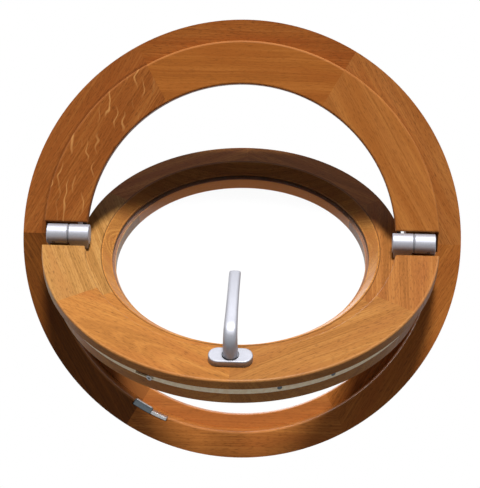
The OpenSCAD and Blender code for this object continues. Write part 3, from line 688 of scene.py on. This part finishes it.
# %% The lever's section, carried along the path
# Share of the lever's length: half width and half thickness in mm, and squareness.
HALF_WIDTH = {0: 11.2, 0.14: 10.8, 0.32: 9.9, 0.5: 9.2, 0.75: 8.8, 1: 8.9}
HALF_THICK = {0: 12, 0.12: 10.4, 0.26: 7.6, 0.4: 6.4, 0.75: 5.6, 1: 5.2}
SQUARENESS = {0: 2.0, 0.15: 2.3, 0.3: 3.4, 1: 3.4}
AROUND = 56


def along_lever(values):
    """Straight lines between values that are given at shares of the lever's length."""
    return np.interp(travel / lever_length, list(values), list(values.values()))


into_tip = np.clip((travel - lever_length + TIP_R) / TIP_R, 0, 1)
rounding = TIP_R * (1 - np.sqrt(1 - into_tip ** 2))
half_w = soften(along_lever(HALF_WIDTH)) - rounding
half_t = soften(along_lever(HALF_THICK)) - rounding
x, y = superellipse(full_turn(AROUND), along_lever(SQUARENESS)[:, None])
across = x * half_w[:, None]
outward = y * half_t[:, None]
lever_up = path_up[:, None] - outward * np.cos(turn)[:, None]
lever_out = path_out[:, None] + outward * np.sin(turn)[:, None]
lever = skin("lever", handle_place(across, lever_up, lever_out), satin_aluminium, "handle")
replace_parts(lever, "handle_lever")

# %% [markdown]
# ## Rosette and collar
#
# The rosette is a plate with round ends and a softly rounded rim. Its outline is a stadium, drawn
# as two half circles, and every ring of the skin is that stadium, drawn in by as much as the rim's
# rounding asks at that height. Two more rings on the flat top keep smooth shading to the rim. A
# thin black ring seals the gap between the rosette and the neck.

# %% Rosette, as a stack of stadiums
ROSETTE_L = 66.0
ROSETTE_W = 30.0
RIM_R = 1.8
RIM_STEPS = 8
TOP_RINGS = np.array([0.4, 0.8])
END_STEPS = 28

quarter = np.linspace(0, math.pi / 2, RIM_STEPS)
inset = np.concatenate([[0.0], RIM_R * (1 - np.cos(quarter)), RIM_R + TOP_RINGS])
height = np.concatenate([[0.0], ROSETTE_H - RIM_R + RIM_R * np.sin(quarter), ROSETTE_H + 0 * TOP_RINGS])
ends = np.concatenate([np.linspace(-math.pi / 2, math.pi / 2, END_STEPS),
                       np.linspace(math.pi / 2, 1.5 * math.pi, END_STEPS)])
middle = np.repeat([1, -1], END_STEPS) * (ROSETTE_L - ROSETTE_W) / 2
radius = (ROSETTE_W / 2 - inset)[:, None]
rosette_points = handle_place(middle + radius * np.cos(ends), radius * np.sin(ends),
                              height[:, None] + 0 * ends)
rosette = skin("rosette", rosette_points, satin_aluminium, "sash")
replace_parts(rosette, "handle_rosette")

# %% Ring round the neck
COLLAR_R = 12.3
COLLAR_TUBE = 0.55
COLLAR_STEPS = 64
TUBE_STEPS = 12

round_neck = full_turn(COLLAR_STEPS)[:, None]
round_tube = full_turn(TUBE_STEPS)[None, :]
ring_r = COLLAR_R + COLLAR_TUBE * np.cos(round_tube)
ring_out = ROSETTE_H + COLLAR_TUBE + COLLAR_TUBE * np.sin(round_tube) + 0 * round_neck
skin("neck_ring", handle_place(ring_r * np.cos(round_neck), ring_r * np.sin(round_neck), ring_out),
     black_rubber, "handle", closed_path=True)

# %% [markdown]
# ## Set screws of the hinges
#
# Low on the outer half of each barrel sits a small set screw, which clamps the pin. It shows as a
# dark dot. A lathe profile makes it: a rim, a shallow dish and a socket, turned round an axis that
# points forwards and down.

# %% Set screws, turned round their axes
BARREL_R = 15.8
SCREW_LEAN = math.radians(62)
SCREW_FROM_END = 11.0
SCREW_R = 2.7
SCREW_SUNK = 1.5
RIM_BEVEL = 0.35
RIM_LOW = 0.1
RIM_HIGH = 0.15
SOCKET_R = 1.5
SOCKET_FOOT_R = 1.4
SOCKET_MIDDLE_R = 0.5
SOCKET_DEEP = 1.2

screw_axis = np.array([0.0, -math.cos(SCREW_LEAN), -math.sin(SCREW_LEAN)])
screw_across = np.cross(screw_axis, HANDLE_SIDE)
lathe_r = np.array([SCREW_R, SCREW_R, SCREW_R - RIM_BEVEL, SOCKET_R, SOCKET_FOOT_R, SOCKET_MIDDLE_R])
lathe_h = np.array([-SCREW_SUNK, -RIM_LOW, RIM_HIGH, RIM_HIGH, -SOCKET_DEEP, -SOCKET_DEEP])
round_screw = full_turn(AROUND)[:, None]
spokes = np.cos(round_screw) * HANDLE_SIDE + np.sin(round_screw) * screw_across
profile = lathe_h[:, None, None] * screw_axis + lathe_r[:, None, None] * spokes
for side in ("left", "right"):
    low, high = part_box("hinge_frame_knuckle_" + side)
    outer_x = low[0] + SCREW_FROM_END * MM if side == "left" else high[0] - SCREW_FROM_END * MM
    seat = np.array([outer_x, PIVOT[1], PIVOT[2]]) + BARREL_R * MM * screw_axis
    skin("set_screw_" + side, seat + MM * profile, black_steel, "frame")

# %% [markdown]
# ## The strike
#
# The strike is a small casting: a bright base with two screws, and at one end a raised dark hook
# with round corners, which catches the roller. A strip of bright steel along the hook's lip is a
# painted glint. All three are bars bent round the window's axis. A box with bevelled edges would
# stay straight, so the section is a superellipse close to a rectangle, carried along the arc, and it
# draws in at the ends by the rounding of the corners.

# %% Strike, as three bars round the axis
# Each bar: from and to this angle in degrees, then its radii and its depths in mm.
STRIKE_BASE = (238.2, 249.4, 310.4, 316.8, 0.8, 26.0)
STRIKE_HOOK = (238.2, 244.4, 306.0, 317.0, 0.0, 9.1)
# Painted glint: a strip of bright steel along the dark hook's lip.
STRIKE_GLINT_LIP = (238.6, 244.0, 305.6, 307.6, 0.2, 8.9)
STRIKE_CORNER = 2.6
CORNER_SHARE = 0.45              # a corner takes at most this share of the bar's width
STRIKE_SQUARE = 7.0
CORNER_STEPS = 9
BAR_STEPS = 16
BAR_AROUND = 48


def arc_bar(name, sizes, material):
    """A bar over an arc: angles in degrees, then radii and depths in mm. Point (s, t) lies at angle s
    on a superellipse |x/a|^n + |y/b|^n = 1, with a and b less by the rounding near both ends."""
    start, end, inner, outer, front, back = sizes
    length = math.radians(end - start) * (inner + outer) / 2
    corner = min(STRIKE_CORNER, CORNER_SHARE * (outer - inner), CORNER_SHARE * (back - front))
    fine = corner * (1 - np.cos(np.linspace(0, math.pi / 2, CORNER_STEPS)))
    between = np.linspace(corner, length - corner, BAR_STEPS)[1:-1]
    travel = np.concatenate([fine, between, length - fine[::-1]])
    to_end = np.clip(np.minimum(travel, length - travel) / corner, 0, 1)
    drawn_in = corner * (1 - np.sqrt(1 - (1 - to_end) ** 2))
    x, y = superellipse(full_turn(BAR_AROUND), STRIKE_SQUARE)
    radius = (inner + outer) / 2 + np.outer((outer - inner) / 2 - drawn_in, x)
    depth = (front + back) / 2 + np.outer((back - front) / 2 - drawn_in, y)
    bearing = np.radians(start + (end - start) * travel / length)[:, None]
    rings = MM * np.stack([radius * np.cos(bearing), depth, radius * np.sin(bearing)], axis=-1)
    return skin(name, rings, material, "frame")


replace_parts(arc_bar("strike_base", STRIKE_BASE, bright_steel), "strike_plate")
arc_bar("strike_hook", STRIKE_HOOK, zinc)
# The painted glint on the hook's lip.
arc_bar("strike_glint_lip", STRIKE_GLINT_LIP, bright_steel)

# %% [markdown]
# ## Floor and backdrop
#
# The window hangs above a plain pale floor. The camera sees floor and sky as white, and so do gloss
# and glass, while the light that they throw back on the wood stays low: a Light Path node tells who
# is looking. Near the window the floor glows less and takes light instead, so that it shows the
# window's shadow. A white plane under strong lamps would do too, but it would wash out the wood.

# %% Floor
FLOOR_Z = -0.62
FLOOR_HALF = 40.0
FLOOR_CORNERS = ((-1, -1), (1, -1), (1, 1), (-1, 1))

floor_mesh = bpy.data.meshes.new("floor")
floor_points = [(x * FLOOR_HALF, y * FLOOR_HALF, FLOOR_Z) for x, y in FLOOR_CORNERS]
floor_mesh.from_pydata(floor_points, [], [(0, 1, 2, 3)])
floor = bpy.data.objects.new("floor", floor_mesh)
bpy.context.scene.collection.objects.link(floor)
print("floor at", FLOOR_Z)

# %% Paint of the floor
FLOOR_NEAR = 1.0                 # metres from the origin, where the floor starts to turn white
FLOOR_FAR = 1.6
FLOOR_GLOW = 0.5
FLOOR_ROUGH = 0.9
BOUNCE_COLOUR = "#8c8c8c"        # what the wood sees of the near floor, and what the camera sees
NEAR_COLOUR = "#bcbcbc"
BLACK = "#000000"
WHITE = "#ffffff"


def who_looks(tree):
    """1 for the camera, also through glass; 1 for these and for gloss; and 1 for gloss alone."""
    ray = add(tree, "LightPath").outputs
    watched = add(tree, "Math", {0: ray["Is Camera Ray"], 1: ray["Is Transmission Ray"]},
                  operation="MAXIMUM").outputs[0]
    seen = add(tree, "Math", {0: watched, 1: ray["Is Glossy Ray"]}, operation="MAXIMUM").outputs[0]
    return watched, seen, ray["Is Glossy Ray"]


# Matt paint: a white plain with a soft grey shadow in its middle.
floor_paint, tree = new_material("pale_floor")
floor_mesh.materials.append(floor_paint)
watched, seen, _ = who_looks(tree)
reach = add(tree, "VectorMath", {0: add(tree, "TexCoord").outputs["Object"]}, operation="LENGTH")
far = add(tree, "MapRange", {"Value": reach.outputs["Value"], "From Min": FLOOR_NEAR,
                             "From Max": FLOOR_FAR}).outputs[0]
near_glow = add(tree, "MapRange", {"Value": far, "To Min": FLOOR_GLOW, "To Max": 1.0}).outputs[0]
near_glow = add(tree, "Math", {0: watched, 1: near_glow}, operation="MULTIPLY").outputs[0]
far_glow = add(tree, "Math", {0: seen, 1: far}, operation="MULTIPLY").outputs[0]
glow = add(tree, "Math", {0: near_glow, 1: far_glow}, operation="MAXIMUM").outputs[0]
shade = add(tree, "Mix", {"Factor": watched, "A": linear(BOUNCE_COLOUR), "B": linear(NEAR_COLOUR)},
            data_type="RGBA").outputs["Result"]
shade = add(tree, "Mix", {"Factor": far, "A": shade, "B": linear(BLACK)},
            data_type="RGBA").outputs["Result"]
paint = add(tree, "BsdfPrincipled",
            {"Base Color": shade, "Roughness": FLOOR_ROUGH, "Specular IOR Level": 0.0,
             "Emission Color": linear(WHITE), "Emission Strength": glow})
add(tree, "OutputMaterial", {"Surface": paint.outputs["BSDF"]})
print("floor paint nodes:", len(tree.nodes))

# %% [markdown]
# ## Sky and light
#
# One large soft light shines from above and in front, nearly from the middle: it lights the tilted
# sash fully and lets the upper half of the frame shade the far half of the sash. It comes from far
# away, so that top and bottom get the same light. A dim even sky fills the shadows, and a weak
# light from behind keeps the back readable. Behind the camera a studio is dark, which is what gives
# satin metal its grey sides, so gloss sees white above and behind the window and little in front.

# %% Sky
SKY_LIGHT = 0.25
BACKDROP_WAY = (0.0, 0.6, 0.8)
BACKDROP_SPAN = (-0.2, 0.5)      # cosine to that way, where gloss sees the dark room and white
DARK_ROOM = 0.35

world = bpy.data.worlds.new("studio")
bpy.context.scene.world = world
world.use_nodes = True
tree = world.node_tree
tree.nodes.clear()
_, seen, glossy = who_looks(tree)
strength = add(tree, "MapRange", {"Value": seen, "To Min": SKY_LIGHT, "To Max": 1.0}).outputs[0]
way = add(tree, "VectorMath", {0: add(tree, "TexCoord").outputs["Generated"], 1: BACKDROP_WAY},
          operation="DOT_PRODUCT").outputs["Value"]
backdrop = add(tree, "MapRange", {"Value": way, "From Min": BACKDROP_SPAN[0],
                                  "From Max": BACKDROP_SPAN[1], "To Min": DARK_ROOM}).outputs[0]
gloss = add(tree, "Mix", {"Factor": glossy, "A": 1.0, "B": backdrop}).outputs["Result"]
strength = add(tree, "Math", {0: strength, 1: gloss}, operation="MULTIPLY").outputs[0]
sky = add(tree, "Background", {"Color": linear(WHITE), "Strength": strength})
add(tree, "OutputWorld", {"Surface": sky.outputs["Background"]})
print("sky light on the wood:", SKY_LIGHT)

# %% Key light, and a weak one from behind
# Each lamp: where it shines from, how wide it looks in degrees, and its strength.
LAMPS = {
    "key_light": (Vector((0.1, -1.5, 2.18)), 12, 4.85),
    "back_light": (Vector((-0.8, 1.9, 0.9)), 40, 1.1),
}

for name, (come_from, wide_deg, power) in LAMPS.items():
    lamp_data = bpy.data.lights.new(name, "SUN")
    lamp_data.angle = math.radians(wide_deg)
    lamp_data.energy = power
    lamp = bpy.data.objects.new(name, lamp_data)
    bpy.context.scene.collection.objects.link(lamp)
    lamp.location = come_from
    lamp.rotation_euler = (-come_from).to_track_quat("-Z", "Y").to_euler()
    print(name, power)
bpy.context.scene.view_settings.view_transform = "Standard"
